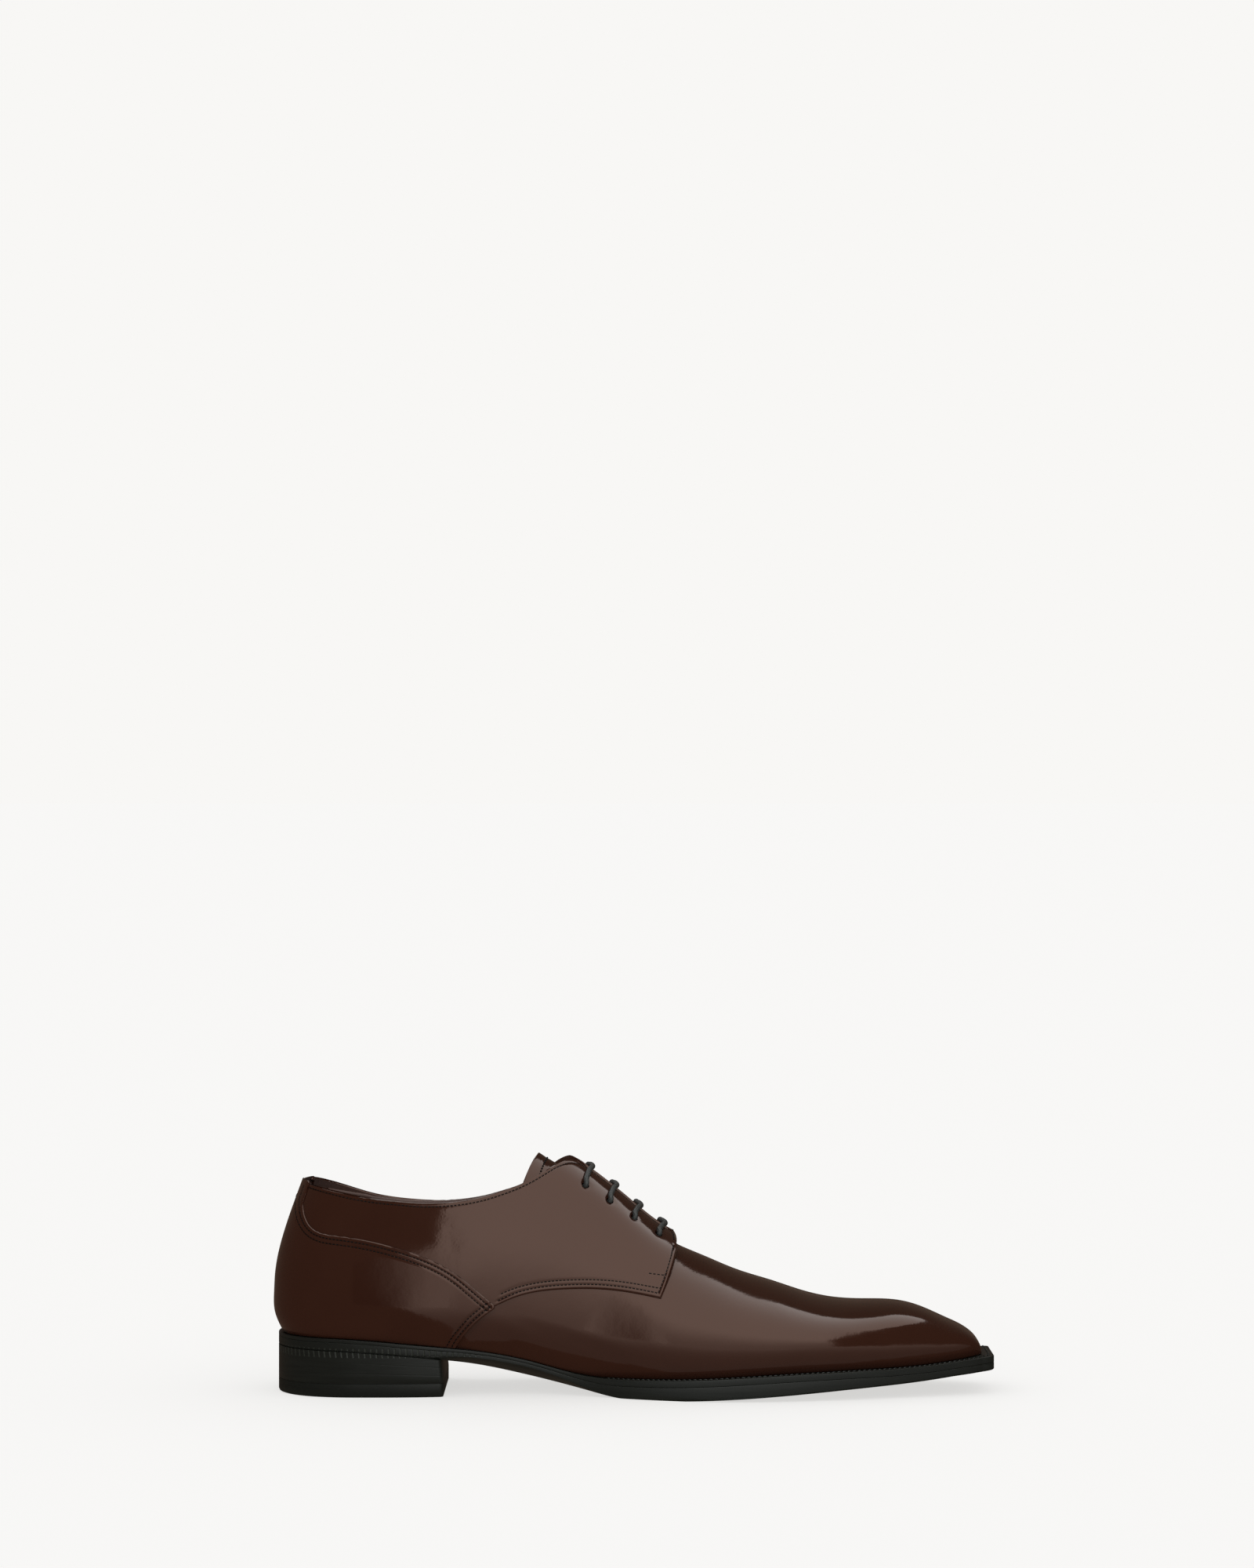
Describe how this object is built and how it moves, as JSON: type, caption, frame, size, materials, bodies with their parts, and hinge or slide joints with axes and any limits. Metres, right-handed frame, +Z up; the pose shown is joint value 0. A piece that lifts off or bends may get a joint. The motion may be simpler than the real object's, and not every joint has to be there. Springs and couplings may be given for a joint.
{
  "type": "derby shoe",
  "caption": "Left derby dress shoe in polished brown leather with a long chiselled toe, open lacing, plain vamp, wrapped heel counter and low stacked heel.",
  "frame": {"origin": "on the floor under the middle of the shoe's length and of its sole's width", "axes": "+X from heel to toe, -Y to the medial (inner) side, +Z up"},
  "size_m": [0.3101, 0.1027, 0.1009],
  "materials": {
    "brown_leather": "polished",
    "lining_leather": "matte",
    "black_sole": "waxed edge",
    "black_rubber": "matte",
    "black_cord": "waxed"
  },
  "bodies": {
    "root": {"upper": "brown_leather", "quarter_medial": "brown_leather", "quarter_lateral": "brown_leather", "counter": "brown_leather", "tongue": "brown_leather", "insole": "lining_leather", "welt": "black_sole", "outsole": "black_sole", "heel": "black_sole", "top_piece": "black_rubber", "lace_bar_1": "black_cord", "lace_bar_2": "black_cord", "lace_bar_3": "black_cord", "lace_bar_4": "black_cord"}
  },
  "joints": []
}
